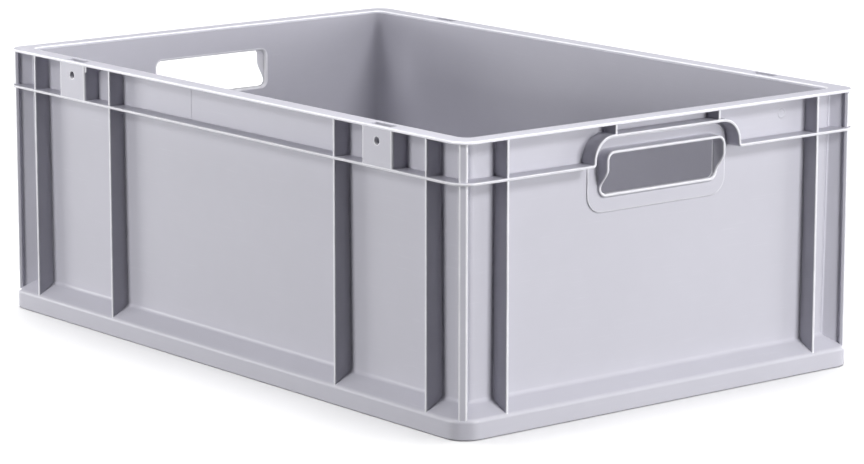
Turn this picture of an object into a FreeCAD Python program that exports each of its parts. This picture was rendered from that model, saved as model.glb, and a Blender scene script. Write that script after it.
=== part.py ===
import FreeCAD, Part
import math
import os
import Sketcher
from FreeCAD import Placement, Rotation, Vector

doc = FreeCAD.newDocument("StackingCrate")

# Driving dimensions in millimetres. An inset is measured inwards from the 600 x 400 outline.
sizes = {
    "overallLength": 600, "overallWidth": 400, "overallHeight": 220,
    "rimThickness": 2.2, "rimCornerRadius": 14,
    "wallThickness": 2, "wallTopInset": 14, "wallFootInset": 15.6, "wallCornerRadius": 10,
    "cornerSpan": 30,
    "floorUnderside": 4, "floorThickness": 3,
    "baseBandHeight": 15, "ledgeTop": 24.5, "baseCornerRadius": 18, "skirtThickness": 3,
    "flangeTop": 189.8, "flangeThickness": 2.2,
    "ribThickness": 2.2, "ribEdgeInset": 0.9,
    "outerRibX": 257.5, "innerRibX": 148.5, "endRibY": 156,
    "postWebThickness": 2.2, "postBeadWidth": 6.5, "postBeadDepth": 3.4, "postBeadInset": 2.4,
    "postBeadRound": 1,
    "hingeX": 201, "hingeBlockLength": 36, "hingeSlotLength": 25, "hingeSlotWidth": 7,
    "hingeFaceThickness": 3.5, "hingeSlotFloor": 196, "hingePinDiameter": 5.8, "hingePinHeight": 208.5,
    "gripLength": 115, "gripBottom": 164.5, "gripTop": 196, "gripCornerRadius": 5,
    "collarThickness": 2.3, "collarFrontInset": 2, "collarFootInset": 11,
    "collarCurveTop": 185, "collarCurveFoot": 168,
    "padLength": 139, "padBottom": 150.5, "padTop": 206, "padCornerRadius": 14, "padFaceInset": 13.2,
    "archLength": 148, "archTop": 210.8, "archCornerRadius": 21,
    "gripWebY": 52, "gripWebThickness": 2,
    "clipWebX": 181, "clipWebThickness": 2, "clipWebDrop": 4.6, "clipWebReach": 13.5,
}
sheet = doc.addObject("Spreadsheet::Sheet", "Sizes")
for row, (name, value) in enumerate(sizes.items(), start=1):
    sheet.set(f"A{row}", name)
    sheet.set(f"B{row}", str(value))
    sheet.setAlias(f"B{row}", name)
doc.recompute()

# Levels that several pieces share, as expressions on the sheet.
rimUnder = "(Sizes.overallHeight - Sizes.rimThickness)"
flangeUnder = "(Sizes.flangeTop - Sizes.flangeThickness)"

nodes = []


def worth(expression):
    """The number that an expression on the sheet gives."""
    return float(sheet.evalExpression(expression))


def bind(item, **expressions):
    """Bind properties of an object to the sheet; Base_x stands for Placement.Base.x."""
    for name, expression in expressions.items():
        path = f".Placement.Base.{name[-1]}" if name.startswith("Base_") else name
        item.setExpression(path, expression)
    return item


def asNode(item, label):
    """Mark an object as one piece of the crate, exported under its label."""
    item.Label = label
    nodes.append(item)
    return item


def box(name, centre, size):
    """A box given by the expressions of its centre and its size along X, Y and Z."""
    block = doc.addObject("Part::Box", name)
    bind(block, Length=size[0], Width=size[1], Height=size[2])
    bind(block, **{f"Base_{axis}": f"{c} - ({d}) / 2" for axis, c, d in zip("xyz", centre, size)})
    return block


def cut(name, base, *tools):
    """The base less each tool in turn."""
    for tool in tools:
        result = doc.addObject("Part::Cut", name)
        result.Base, result.Tool = base, tool
        base = result
    return base


def common(name, base, tool):
    result = doc.addObject("Part::Common", name)
    result.Base, result.Tool = base, tool
    return result


def fuse(name, *parts):
    result = doc.addObject("Part::MultiFuse", name)
    result.Shapes = list(parts)
    return result


def filleted(name, base, radius, wanted):
    """A Part fillet on the edges that wanted() picks; radius is an alias on the sheet."""
    doc.recompute()
    result = doc.addObject("Part::Fillet", name)
    result.Base = base
    result.Edges = [(i + 1, worth(radius), worth(radius))
                    for i, edge in enumerate(base.Shape.Edges) if wanted(edge)]
    return result


def alongX(edge):
    start, end = (vertex.Point for vertex in edge.Vertexes)
    return abs(start.y - end.y) < 1e-6 and abs(start.z - end.z) < 1e-6


def alongZ(edge):
    start, end = (vertex.Point for vertex in edge.Vertexes)
    return abs(start.x - end.x) < 1e-6 and abs(start.y - end.y) < 1e-6


def roundedPlan(name, inset, radius, level):
    """A rounded rectangle in plan, inset from the outline, lying at the given level."""
    sketch = doc.addObject("Sketcher::SketchObject", name)
    x = worth(f"Sizes.overallLength / 2 - {inset}")
    y = worth(f"Sizes.overallWidth / 2 - {inset}")
    r = worth(radius)
    turns = [(1, -1), (1, 1), (-1, 1), (-1, -1)]
    for k, (sx, sy) in enumerate(turns):
        quarter = Part.Circle(Vector(sx * (x - r), sy * (y - r), 0), Vector(0, 0, 1), r)
        sketch.addGeometry(Part.ArcOfCircle(quarter, (k - 1) * math.pi / 2, k * math.pi / 2))
    for k in range(4):
        start = sketch.Geometry[k].EndPoint
        end = sketch.Geometry[(k + 1) % 4].StartPoint
        sketch.addGeometry(Part.LineSegment(start, end))
    for k in range(4):
        sketch.addConstraint(Sketcher.Constraint("Tangent", k, 2, 4 + k, 1))
        sketch.addConstraint(Sketcher.Constraint("Tangent", 4 + k, 2, (k + 1) % 4, 1))
        if k:
            sketch.addConstraint(Sketcher.Constraint("Equal", 0, k))
    for k, direction in enumerate(("Vertical", "Horizontal", "Vertical", "Horizontal")):
        sketch.addConstraint(Sketcher.Constraint(direction, 4 + k))
    sketch.addConstraint(Sketcher.Constraint("Symmetric", 4, 1, 6, 1, -1, 1))
    for kind, first, second, value in (
            ("DistanceX", (6, 1), (4, 1), f"Sizes.overallLength - 2 * ({inset})"),
            ("DistanceY", (7, 1), (5, 1), f"Sizes.overallWidth - 2 * ({inset})")):
        index = sketch.addConstraint(Sketcher.Constraint(kind, *first, *second, worth(value)))
        sketch.setExpression(f"Constraints[{index}]", value)
    index = sketch.addConstraint(Sketcher.Constraint("Radius", 0, r))
    sketch.setExpression(f"Constraints[{index}]", radius)
    return bind(sketch, Base_z=level)


def planPrism(name, inset, radius, foot, top):
    """A prism on a rounded plan between two levels."""
    prism = doc.addObject("Part::Extrusion", name)
    prism.Base = roundedPlan(name + "Plan", inset, radius, foot)
    prism.DirMode = "Normal"
    prism.Solid = True
    return bind(prism, LengthFwd=f"{top} - ({foot})")


def planLoft(name, footInset, footRadius, foot, topInset, topRadius, top):
    """A straight taper between two rounded plans."""
    loft = doc.addObject("Part::Loft", name)
    loft.Sections = [roundedPlan(name + "Foot", footInset, footRadius, foot),
                     roundedPlan(name + "Head", topInset, topRadius, top)]
    loft.Solid, loft.Ruled = True, True
    return loft


def outlineBody(label, plane, points, thickness):
    """A plate: a polygon on one of the body's own planes, padded to both sides of it."""
    body = doc.addObject("PartDesign::Body", label)
    sketch = body.newObject("Sketcher::SketchObject", label + "Outline")
    support = [part for part in body.Origin.OriginFeatures if part.Role == plane][0]
    sketch.AttachmentSupport, sketch.MapMode = [(support, "")], "FlatFace"
    corners = [Vector(worth(u), worth(v), 0) for u, v in points]
    count = len(corners)
    for k in range(count):
        sketch.addGeometry(Part.LineSegment(corners[k], corners[(k + 1) % count]))
    for k in range(count):
        sketch.addConstraint(Sketcher.Constraint("Coincident", k, 2, (k + 1) % count, 1))
    for k, place in enumerate(points):
        for kind, expression in zip(("DistanceX", "DistanceY"), place):
            index = sketch.addConstraint(Sketcher.Constraint(kind, -1, 1, k, 1, worth(expression)))
            sketch.setExpression(f"Constraints[{index}]", expression)
    pad = body.newObject("PartDesign::Pad", label + "Pad")
    pad.Profile, pad.SideType = sketch, "Symmetric"
    bind(pad, Length=thickness)
    return body


# The tapered tub: outer and inner skins, lofted from the foot to the underside of the rim.
outerSkin = planLoft("OuterSkin", "Sizes.wallFootInset", "Sizes.wallCornerRadius", "Sizes.floorUnderside",
                     "Sizes.wallTopInset", "Sizes.wallCornerRadius", rimUnder)
innerRadius = "(Sizes.wallCornerRadius - Sizes.wallThickness)"
innerSkin = planLoft("InnerSkin", "(Sizes.wallFootInset + Sizes.wallThickness)", innerRadius,
                     "Sizes.floorUnderside", "(Sizes.wallTopInset + Sizes.wallThickness)", innerRadius, rimUnder)
wallRing = cut("WallRing", outerSkin, innerSkin)

floorSlab = box("FloorSlab", ("0", "0", "Sizes.floorUnderside + Sizes.floorThickness / 2"),
                ("Sizes.overallLength", "Sizes.overallWidth", "Sizes.floorThickness"))
asNode(common("Floor", innerSkin, floorSlab), "floor")

# Base: an upright band, a ledge that slopes up to the wall, and the hollow below them.
baseSolid = fuse("BaseSolid",
                 planPrism("BaseBand", "0", "Sizes.baseCornerRadius", "0", "Sizes.baseBandHeight"),
                 planLoft("BaseLedge", "0", "Sizes.baseCornerRadius", "Sizes.baseBandHeight",
                          "Sizes.wallFootInset", "Sizes.wallCornerRadius", "Sizes.ledgeTop"))
hollowTop = "(Sizes.baseBandHeight - Sizes.skirtThickness)"
hollowRadius = "(Sizes.baseCornerRadius - Sizes.skirtThickness)"
baseHollow = fuse("BaseHollow",
                  planPrism("BandHollow", "Sizes.skirtThickness", hollowRadius, "-1", hollowTop),
                  planLoft("LedgeHollow", "Sizes.skirtThickness", hollowRadius, hollowTop,
                           "Sizes.wallFootInset", "Sizes.wallCornerRadius",
                           "(Sizes.ledgeTop - Sizes.skirtThickness)"))
baseRing = cut("BaseRing", baseSolid, baseHollow, outerSkin)

# Top rim and middle flange: flat rings round the tub.
rimPlate = planPrism("RimPlate", "0", "Sizes.rimCornerRadius", rimUnder, "Sizes.overallHeight")
rimMouth = planPrism("RimMouth", "(Sizes.wallTopInset + Sizes.wallThickness)", innerRadius,
                     rimUnder, "(Sizes.overallHeight + 1)")
flangePlate = planPrism("FlangePlate", "0", "Sizes.rimCornerRadius", flangeUnder, "Sizes.flangeTop")

slotY = "(Sizes.overallWidth / 2 - Sizes.hingeFaceThickness - Sizes.hingeSlotWidth / 2)"
slotLevel = "(Sizes.overallHeight + 1 + Sizes.hingeSlotFloor) / 2"
hingeSlots = [box(f"HingeSlot{k + 1}", (f"{sx} * Sizes.hingeX", f"{sy} * {slotY}", slotLevel),
                  ("Sizes.hingeSlotLength", "Sizes.hingeSlotWidth",
                   "Sizes.overallHeight + 1 - Sizes.hingeSlotFloor"))
              for k, (sx, sy) in enumerate(((-1, -1), (1, -1), (-1, 1), (1, 1)))]
asNode(cut("TopRim", rimPlate, rimMouth, *hingeSlots), "top_rim")

# Corner posts: a web at 45 degrees that ends in a rounded bead.
cornerReach = "(Sizes.rimCornerRadius * (1 - sqrt(2)) - Sizes.postBeadInset)"
for k, (sx, sy) in enumerate(((-1, -1), (1, -1), (1, 1), (-1, 1))):
    heading = Placement(Vector(sx * worth("Sizes.overallLength / 2"), sy * worth("Sizes.overallWidth / 2"), 0),
                        Rotation(Vector(0, 0, 1), math.degrees(math.atan2(sy, sx))))
    bead = box(f"PostBead{k + 1}", (f"{cornerReach} - Sizes.postBeadDepth / 2", "0", f"{rimUnder} / 2"),
               ("Sizes.postBeadDepth", "Sizes.postBeadWidth", rimUnder))
    bead = filleted(f"PostBeadRound{k + 1}", bead, "Sizes.postBeadRound", alongZ)
    web = box(f"PostWeb{k + 1}", (f"{cornerReach} - Sizes.postBeadDepth / 2 - 10", "0", f"{rimUnder} / 2"),
              ("20", "Sizes.postWebThickness", rimUnder))
    post = fuse(f"PostBlank{k + 1}", bead, web)
    post.Placement = heading
    asNode(cut(f"CornerPost{k + 1}", post, outerSkin, baseSolid), f"corner_post_{k + 1}")
cornerPosts = nodes[-4:]

# Upright ribs: plates that stand on the ledge and reach up to the rim.
ledgeFall = "(Sizes.ledgeTop - Sizes.baseBandHeight) / Sizes.wallFootInset"
ribFoot = f"(Sizes.baseBandHeight + Sizes.ribEdgeInset * {ledgeFall})"
taper = f"(Sizes.wallFootInset - Sizes.wallTopInset) / ({rimUnder} - Sizes.floorUnderside)"
ledgeInset = f"(Sizes.wallFootInset - (Sizes.ledgeTop - Sizes.floorUnderside) * {taper})"
ledgeAtWall = f"(Sizes.baseBandHeight + {ledgeInset} * {ledgeFall})"


def rib(label, half, place):
    """One upright rib, drawn on the YZ plane on the +Y side of a wall and then placed."""
    points = [(f"{half} - Sizes.ribEdgeInset", rimUnder), (f"{half} - Sizes.wallTopInset", rimUnder),
              (f"{half} - {ledgeInset}", ledgeAtWall), (f"{half} - Sizes.ribEdgeInset", ribFoot)]
    body = outlineBody(label, "YZ_Plane", points, "Sizes.ribThickness")
    body.Placement = place
    return asNode(body, label)


longRibX = [f"{side} * Sizes.{name}" for side, name in
            ((-1, "outerRibX"), (-1, "innerRibX"), (1, "innerRibX"), (1, "outerRibX"))]
ribs = []
for k, x in enumerate(longRibX):
    ribs.append(rib(f"rib_back_{k + 1}", "Sizes.overallWidth / 2", Placement(Vector(worth(x), 0, 0), Rotation())))
    ribs.append(rib(f"rib_front_{k + 1}", "Sizes.overallWidth / 2",
                    Placement(Vector(worth(x), 0, 0), Rotation(Vector(0, 0, 1), 180))))
for side, turn in (("left", 90), ("right", -90)):
    for k, y in enumerate((-1, 1)):
        ribs.append(rib(f"rib_{side}_{k + 1}", "Sizes.overallLength / 2",
                        Placement(Vector(0, y * worth("Sizes.endRibY"), 0), Rotation(Vector(0, 0, 1), turn))))

# Hinge blocks: pockets for lid hinges, open at the top, with a pin hole in the face.
blockHeight = f"({rimUnder} - Sizes.flangeTop)"
blockLevel = f"({rimUnder} + Sizes.flangeTop) / 2"
for k, (sx, sy) in enumerate(((-1, -1), (1, -1), (-1, 1), (1, 1))):
    blank = box(f"HingeBlank{k + 1}",
                (f"{sx} * Sizes.hingeX", f"{sy} * (Sizes.overallWidth / 2 - Sizes.wallFootInset / 2)", blockLevel),
                ("Sizes.hingeBlockLength", "Sizes.wallFootInset", blockHeight))
    pin = doc.addObject("Part::Cylinder", f"HingePin{k + 1}")
    pin.Placement = Placement(Vector(), Rotation(Vector(1, 0, 0), -sy * 90))
    bind(pin, Radius="Sizes.hingePinDiameter / 2", Height="Sizes.hingeFaceThickness + 2",
         Base_x=f"{sx} * Sizes.hingeX", Base_z="Sizes.hingePinHeight",
         Base_y=f"{sy} * (Sizes.overallWidth / 2 - Sizes.hingeFaceThickness - 1)")
    asNode(cut(f"HingeBlock{k + 1}", blank, hingeSlots[k], pin, outerSkin), f"hinge_block_{k + 1}")

# Small webs under the rim beside one hinge block of each long side.
for k, side in enumerate((-1, 1)):
    web = box(f"ClipWebBlank{k + 1}",
              (f"{side} * Sizes.clipWebX",
               f"{side} * (Sizes.overallWidth / 2 - Sizes.wallTopInset + Sizes.clipWebReach / 2 - 1)",
               f"{rimUnder} - Sizes.clipWebDrop / 2"),
              ("Sizes.clipWebThickness", "Sizes.clipWebReach + 2", "Sizes.clipWebDrop"))
    asNode(cut(f"ClipWeb{k + 1}", web, outerSkin), f"clip_web_{k + 1}")

# Hand grips: a hole through each end wall, a raised pad, a collar and an arched flange.
gripLevel = "(Sizes.gripTop + Sizes.gripBottom) / 2"
gripHeight = "(Sizes.gripTop - Sizes.gripBottom)"
gripEnd = "Sizes.overallLength / 2"
archVoids, endCutters = [], {}


def collarTrim(name):
    """What is cut from the front of a collar: two arcs make the side's S-curve."""
    body = doc.addObject("PartDesign::Body", name)
    sketch = body.newObject("Sketcher::SketchObject", name + "Curve")
    support = [part for part in body.Origin.OriginFeatures if part.Role == "XZ_Plane"][0]
    sketch.AttachmentSupport, sketch.MapMode = [(support, "")], "FlatFace"
    front, foot = worth(f"{gripEnd} - Sizes.collarFrontInset"), worth(f"{gripEnd} - Sizes.collarFootInset")
    top, bottom = worth("Sizes.collarCurveTop"), worth("Sizes.collarCurveFoot")
    swing = 2 * math.atan((front - foot) / (top - bottom))
    radius = (top - bottom) / (2 * math.sin(swing))
    low, out = bottom - 16, front + 4
    upper = Part.Circle(Vector(front - radius, top, 0), Vector(0, 0, 1), radius)
    lower = Part.Circle(Vector(foot + radius, bottom, 0), Vector(0, 0, 1), radius)
    sketch.addGeometry([
        Part.ArcOfCircle(upper, -swing, 0), Part.ArcOfCircle(lower, math.pi - swing, math.pi),
        Part.LineSegment(Vector(foot, bottom, 0), Vector(foot, low, 0)),
        Part.LineSegment(Vector(foot, low, 0), Vector(out, low, 0)),
        Part.LineSegment(Vector(out, low, 0), Vector(out, top, 0)),
        Part.LineSegment(Vector(out, top, 0), Vector(front, top, 0))])
    for constraint in (("Tangent", 0, 1, 1, 1), ("Tangent", 1, 2, 2, 1), ("Coincident", 2, 2, 3, 1),
                       ("Coincident", 3, 2, 4, 1), ("Coincident", 4, 2, 5, 1), ("Coincident", 5, 2, 0, 2),
                       ("Equal", 0, 1), ("Vertical", 2), ("Horizontal", 3), ("Vertical", 4),
                       ("Horizontal", 5), ("Horizontal", 0, 3, 0, 2)):
        sketch.addConstraint(Sketcher.Constraint(*constraint))
    for kind, corner, expression in (
            ("DistanceX", (0, 2), f"{gripEnd} - Sizes.collarFrontInset"),
            ("DistanceY", (0, 2), "Sizes.collarCurveTop"),
            ("DistanceX", (1, 2), f"{gripEnd} - Sizes.collarFootInset"),
            ("DistanceY", (1, 2), "Sizes.collarCurveFoot"),
            ("DistanceX", (3, 2), f"{gripEnd} - Sizes.collarFrontInset + 4"),
            ("DistanceY", (3, 2), "Sizes.collarCurveFoot - 16")):
        index = sketch.addConstraint(Sketcher.Constraint(kind, -1, 1, *corner, worth(expression)))
        sketch.setExpression(f"Constraints[{index}]", expression)
    pad = body.newObject("PartDesign::Pad", name + "Pad")
    pad.Profile, pad.SideType = sketch, "Symmetric"
    bind(pad, Length="Sizes.padLength")
    return body


for side, sign in (("left", -1), ("right", 1)):
    def grip(name, inner, outer, length, foot, top, radius=None, rounded=lambda edge: True):
        """A block across the grip between two insets, its edges along X rounded where asked."""
        depth = f"({inner} - ({outer}))"
        block = box(name, (f"{sign} * ({gripEnd} - ({inner} + {outer}) / 2)", "0", f"({top} + {foot}) / 2"),
                    (depth, length, f"{top} - ({foot})"))
        if radius is None:
            return block
        return filleted(name + "Round", block, radius, lambda edge: alongX(edge) and rounded(edge))

    tag = side.capitalize()
    opening = grip(f"Opening{tag}", "40", "-1", "Sizes.gripLength", "Sizes.gripBottom", "Sizes.gripTop",
                   "Sizes.gripCornerRadius")
    pad = grip(f"Pad{tag}", "(Sizes.wallTopInset + Sizes.wallThickness / 2)", "Sizes.padFaceInset",
               "Sizes.padLength", "Sizes.padBottom", "Sizes.padTop", "Sizes.padCornerRadius")
    endCutters[side] = box(f"EndCutter{tag}", (f"{sign} * {gripEnd}", "0", f"{rimUnder} / 2"),
                           ("2 * Sizes.cornerSpan", "Sizes.overallWidth - 2 * Sizes.cornerSpan",
                            f"{rimUnder} + 2"))
    plainWall = common(f"EndWallPlain{tag}", wallRing, endCutters[side])
    asNode(cut(f"EndWall{tag}", fuse(f"EndWallPadded{tag}", plainWall, pad), opening), f"end_wall_{side}")

    collarBlank = grip(f"Collar{tag}", "Sizes.padFaceInset", "Sizes.collarFrontInset",
                       "Sizes.gripLength + 2 * Sizes.collarThickness",
                       "(Sizes.gripBottom - Sizes.collarThickness)", "(Sizes.gripTop + Sizes.collarThickness)",
                       "Sizes.gripCornerRadius + Sizes.collarThickness")
    trim = collarTrim(f"CollarTrim{tag}")
    trim.Placement = Placement(Vector(), Rotation(Vector(0, 0, 1), 0 if sign > 0 else 180))
    asNode(cut(f"GripCollar{tag}", collarBlank, opening, trim), f"grip_collar_{side}")

    atTop = lambda edge: edge.CenterOfMass.z > worth("Sizes.flangeTop")
    archOuter = grip(f"ArchOuter{tag}", "(Sizes.wallFootInset + 1)", "0", "Sizes.archLength", flangeUnder,
                     "Sizes.archTop", "Sizes.archCornerRadius", atTop)
    archInner = grip(f"ArchInner{tag}", "(Sizes.wallFootInset + 2)", "-1",
                     "Sizes.archLength - 2 * Sizes.flangeThickness", f"({flangeUnder} - 1)",
                     "(Sizes.archTop - Sizes.flangeThickness)",
                     "Sizes.archCornerRadius - Sizes.flangeThickness", atTop)
    asNode(cut(f"GripArch{tag}", archOuter, archInner, outerSkin), f"grip_arch_{side}")
    archVoids.append(grip(f"ArchVoid{tag}", "(Sizes.wallFootInset + 2)", "-1", "Sizes.archLength",
                          f"({flangeUnder} - 1)", "(Sizes.flangeTop + 1)"))
    for k, y in enumerate((-1, 1)):
        webBlank = box(f"GripWebBlank{tag}{k + 1}",
                       (f"{sign} * ({gripEnd} - (Sizes.wallFootInset + Sizes.ribEdgeInset) / 2)",
                        f"{y} * Sizes.gripWebY", f"({rimUnder} + Sizes.archTop) / 2"),
                       ("Sizes.wallFootInset - Sizes.ribEdgeInset", "Sizes.gripWebThickness",
                        f"{rimUnder} - Sizes.archTop"))
        asNode(cut(f"GripWeb{tag}{k + 1}", webBlank, archOuter, outerSkin), f"grip_web_{side}_{k + 1}")

# Rounded corners of the wall and of the base, with the straight runs between them. The end walls are
# made with their grips above.
runCutters = dict(endCutters)
for side, sign in (("front", -1), ("back", 1)):
    runCutters[side] = box(f"LongCutter{side.capitalize()}",
                           ("0", f"{sign} * Sizes.overallWidth / 2", f"{rimUnder} / 2"),
                           ("Sizes.overallLength - 2 * Sizes.cornerSpan", "2 * Sizes.cornerSpan",
                            f"{rimUnder} + 2"))
    asNode(common(f"LongWall{side.capitalize()}", wallRing, runCutters[side]), f"long_wall_{side}")

# Each straight run of the base is an upright band and the sloping ledge behind it.
bandBack = planPrism("BandBack", "Sizes.skirtThickness", hollowRadius, "-1", "(Sizes.ledgeTop + 1)")
for side, cutter in runCutters.items():
    run = common(f"BaseRun{side.capitalize()}", baseRing, cutter)
    asNode(cut(f"BaseBand{side.capitalize()}", run, bandBack), f"base_band_{side}")
    asNode(common(f"BaseLedge{side.capitalize()}", run, bandBack), f"base_ledge_{side}")
for k, (sx, sy) in enumerate(((-1, -1), (1, -1), (1, 1), (-1, 1))):
    cutter = box(f"CornerCutter{k + 1}", (f"{sx} * Sizes.overallLength / 2", f"{sy} * Sizes.overallWidth / 2",
                                          f"{rimUnder} / 2"),
                 ("2 * Sizes.cornerSpan", "2 * Sizes.cornerSpan", f"{rimUnder} + 2"))
    asNode(common(f"WallCorner{k + 1}", wallRing, cutter), f"wall_corner_{k + 1}")
    asNode(common(f"BaseCorner{k + 1}", baseRing, cutter), f"base_corner_{k + 1}")

# Middle flange: its two halves end at the hand grips and are notched round ribs and posts.
for side, sign in (("front", -1), ("back", 1)):
    half = box(f"FlangeHalf{side.capitalize()}",
               ("0", f"{sign} * Sizes.overallWidth / 4", f"{flangeUnder} + Sizes.flangeThickness / 2"),
               ("Sizes.overallLength", "Sizes.overallWidth / 2", "Sizes.flangeThickness"))
    blank = common(f"FlangeBlank{side.capitalize()}", flangePlate, half)
    near = [item for item in ribs if side in item.Label or "left" in item.Label or "right" in item.Label]
    asNode(cut(f"Flange{side.capitalize()}", blank, outerSkin, *archVoids, *near, *cornerPosts),
           f"middle_flange_{side}")

doc.recompute()
for item in doc.Objects:
    if "Invalid" in item.State or "Error" in item.State:
        raise RuntimeError(f"{item.Label} did not build: {item.State}")
os.makedirs("parts", exist_ok=True)
for item in nodes:
    shape = item.Shape
    if shape.isNull() or not shape.isValid() or len(shape.Solids) != 1:
        raise RuntimeError(f"{item.Label}: {len(shape.Solids)} solids, valid {shape.isValid()}")
    shape.exportStep(f"parts/{item.Label}.step")
    print(item.Label, round(shape.Volume), shape.optimalBoundingBox())
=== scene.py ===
# Stacking plastic crate: one grey moulding with rim, flange, ribs, corner posts, grips and hinge pockets.
import math
import bmesh
import bpy
import numpy as np
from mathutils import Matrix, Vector


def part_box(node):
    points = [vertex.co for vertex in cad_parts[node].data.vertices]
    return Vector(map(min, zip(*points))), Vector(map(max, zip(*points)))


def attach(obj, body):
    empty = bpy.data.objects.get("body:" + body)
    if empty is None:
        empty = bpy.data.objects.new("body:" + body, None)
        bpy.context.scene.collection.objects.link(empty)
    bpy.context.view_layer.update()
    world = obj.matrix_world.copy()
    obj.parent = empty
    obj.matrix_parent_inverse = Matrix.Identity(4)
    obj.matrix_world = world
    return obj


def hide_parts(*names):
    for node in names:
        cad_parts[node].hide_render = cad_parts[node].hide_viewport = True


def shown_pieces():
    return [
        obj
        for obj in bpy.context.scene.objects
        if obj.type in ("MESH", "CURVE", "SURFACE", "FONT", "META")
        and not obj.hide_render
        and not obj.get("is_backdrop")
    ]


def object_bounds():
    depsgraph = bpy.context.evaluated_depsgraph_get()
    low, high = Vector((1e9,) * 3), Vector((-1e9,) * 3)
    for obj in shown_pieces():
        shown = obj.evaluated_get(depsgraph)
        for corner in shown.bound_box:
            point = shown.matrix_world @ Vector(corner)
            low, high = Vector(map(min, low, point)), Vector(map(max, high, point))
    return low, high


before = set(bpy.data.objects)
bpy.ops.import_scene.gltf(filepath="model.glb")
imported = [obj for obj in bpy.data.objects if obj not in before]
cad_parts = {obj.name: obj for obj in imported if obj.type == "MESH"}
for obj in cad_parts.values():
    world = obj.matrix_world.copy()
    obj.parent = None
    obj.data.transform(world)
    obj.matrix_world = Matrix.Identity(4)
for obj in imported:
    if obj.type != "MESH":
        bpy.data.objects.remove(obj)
cadBox = [list(corner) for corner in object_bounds()]
print("frame loaded:", len(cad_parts), "CAD nodes")

# All lengths below are millimetres; makePiece turns them into metres.


def span(node):
    return [np.array(corner) * 1000 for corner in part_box(node)]


halfLength, halfWidth = cadBox[1][0] * 1000, cadBox[1][1] * 1000
rimUnder, rimTop = span("top_rim")[0][2], span("top_rim")[1][2]
flangeUnder, flangeTop = span("middle_flange_front")[0][2], span("middle_flange_front")[1][2]
ledgeTop = span("base_ledge_front")[1][2]
floorUnder, floorTop = span("floor")[0][2], span("floor")[1][2]

tub = {
    "thickness": 2.0,        # wall thickness
    "cornerRadius": 10.0,    # outside, at the upright corners
    "cornerSpan": halfLength - span("long_wall_front")[1][0],  # from the outline to a straight wall's start
    "topInset": halfWidth + span("long_wall_front")[0][1],
    "floorFillet": 6.0,      # between the floor and the walls
}
tub["footInset"] = halfWidth + span("long_wall_front")[1][1] - tub["thickness"]


# Inset of a wall's outer face from the outline, a straight line from foot to rim.
def wallInset(level):
    rise = (level - floorUnder) / (rimUnder - floorUnder)
    return tub["footInset"] + (tub["topInset"] - tub["footInset"]) * rise


# Polygon with rounded corners: each corner becomes a circle arc, the two tangent directions turned into each
# other by slerp, with a guard point at both ends that keeps the flats beside it flat. Gives points and the
# edge mask for the pale colour of rounded edges, which is rubbed wear and painted highlight.
def softCorners(corners, radii, steps=4, guard=0.3):
    corners, radii = np.array(corners, float), np.array(radii, float) + 1e-4
    before, after = np.roll(corners, 1, 0) - corners, np.roll(corners, -1, 0) - corners
    before /= np.linalg.norm(before, axis=1, keepdims=True)
    after /= np.linalg.norm(after, axis=1, keepdims=True)
    half = np.arccos(np.clip((before * after).sum(1), -1, 1)) / 2
    reach = (radii / np.tan(half))[:, None]
    centre = corners + (before + after) / np.linalg.norm(before + after, axis=1, keepdims=True) \
        * (radii / np.sin(half))[:, None]
    start, end = corners + before * reach, corners + after * reach
    turn = (math.pi - 2 * half)[:, None, None]
    t = np.linspace(0, 1, steps + 1)[None, :, None]
    arc = centre[:, None] + (np.sin((1 - t) * turn) * (start - centre)[:, None]
                             + np.sin(t * turn) * (end - centre)[:, None]) / np.sin(turn)
    points = np.concatenate([(start + before * guard)[:, None], arc, (end + after * guard)[:, None]], 1)
    # arc points get the pale edge colour: rubbed wear and painted highlight on the rounding
    wearAndHighlight = np.ones(points.shape[:2]) * (radii > 0.01)[:, None]
    wearAndHighlight[:, [0, -1]] = 0
    return points.reshape(-1, 2), wearAndHighlight.ravel()


# Rounded outline of the crate at an inset: quarter circles at the corners, straight sides with stops between.
# inset and radius are one number a row; the result is rows x points x 2, anticlockwise from (+, -).
# Every stop has to lie between the corner circles of every row, or the surface folds over itself.
def outline(inset, radius, stopsX, stopsY, steps=10):
    inset, radius = np.atleast_1d(inset)[:, None], np.atleast_1d(radius)[:, None]
    x, y = halfLength - inset, halfWidth - inset
    runs = []
    for quarter, (sx, sy) in enumerate(((1, -1), (1, 1), (-1, 1), (-1, -1))):
        angle = (quarter - 1) * math.pi / 2 + np.linspace(0, math.pi / 2, steps + 1)[None]
        runs.append(np.stack([sx * (x - radius) + radius * np.cos(angle),
                              sy * (y - radius) + radius * np.sin(angle)], -1))
        stops = np.sort(stopsX if quarter % 2 else stopsY)[None]
        stops = stops[:, ::-1] if quarter in (1, 2) else stops
        along, across = stops + 0 * x, (sy * y if quarter % 2 else sx * x) + 0 * stops
        runs.append(np.stack([along, across] if quarter % 2 else [across, along], -1))
    return np.concatenate(runs, 1)


# Quads between neighbouring points of a rows x columns grid, wrapping round where it is closed.
def gridQuads(rows, columns, closedRows, closedColumns):
    r, c = np.meshgrid(np.arange(rows - (not closedRows)), np.arange(columns - (not closedColumns)),
                       indexing="ij")
    down, right = (r + 1) % rows, (c + 1) % columns
    return np.stack([r * columns + c, r * columns + right, down * columns + right, down * columns + c],
                    -1).reshape(-1, 4)


# One closed surface: a grid of points, closed round its columns or rows and capped at its open ends.
def surface(points, wearAndHighlight=None, closedRows=False, closedColumns=True, capped=True, leave=None):
    rows, columns = points.shape[:2]
    quads = gridQuads(rows, columns, closedRows, closedColumns)
    flat = points.reshape(-1, 3)
    if leave is not None:
        quads = quads[~leave(flat[quads].mean(1))]
    faces = quads.tolist()
    index = np.arange(rows * columns).reshape(rows, columns)
    if capped and not closedRows:
        faces += [index[0].tolist(), index[-1].tolist()]
    if capped and not closedColumns:
        faces += [index[:, 0].tolist(), index[:, -1].tolist()]
    wearAndHighlight = np.zeros((rows, columns)) if wearAndHighlight is None else np.broadcast_to(wearAndHighlight, (rows, columns))
    return flat, faces, wearAndHighlight.ravel()


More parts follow.
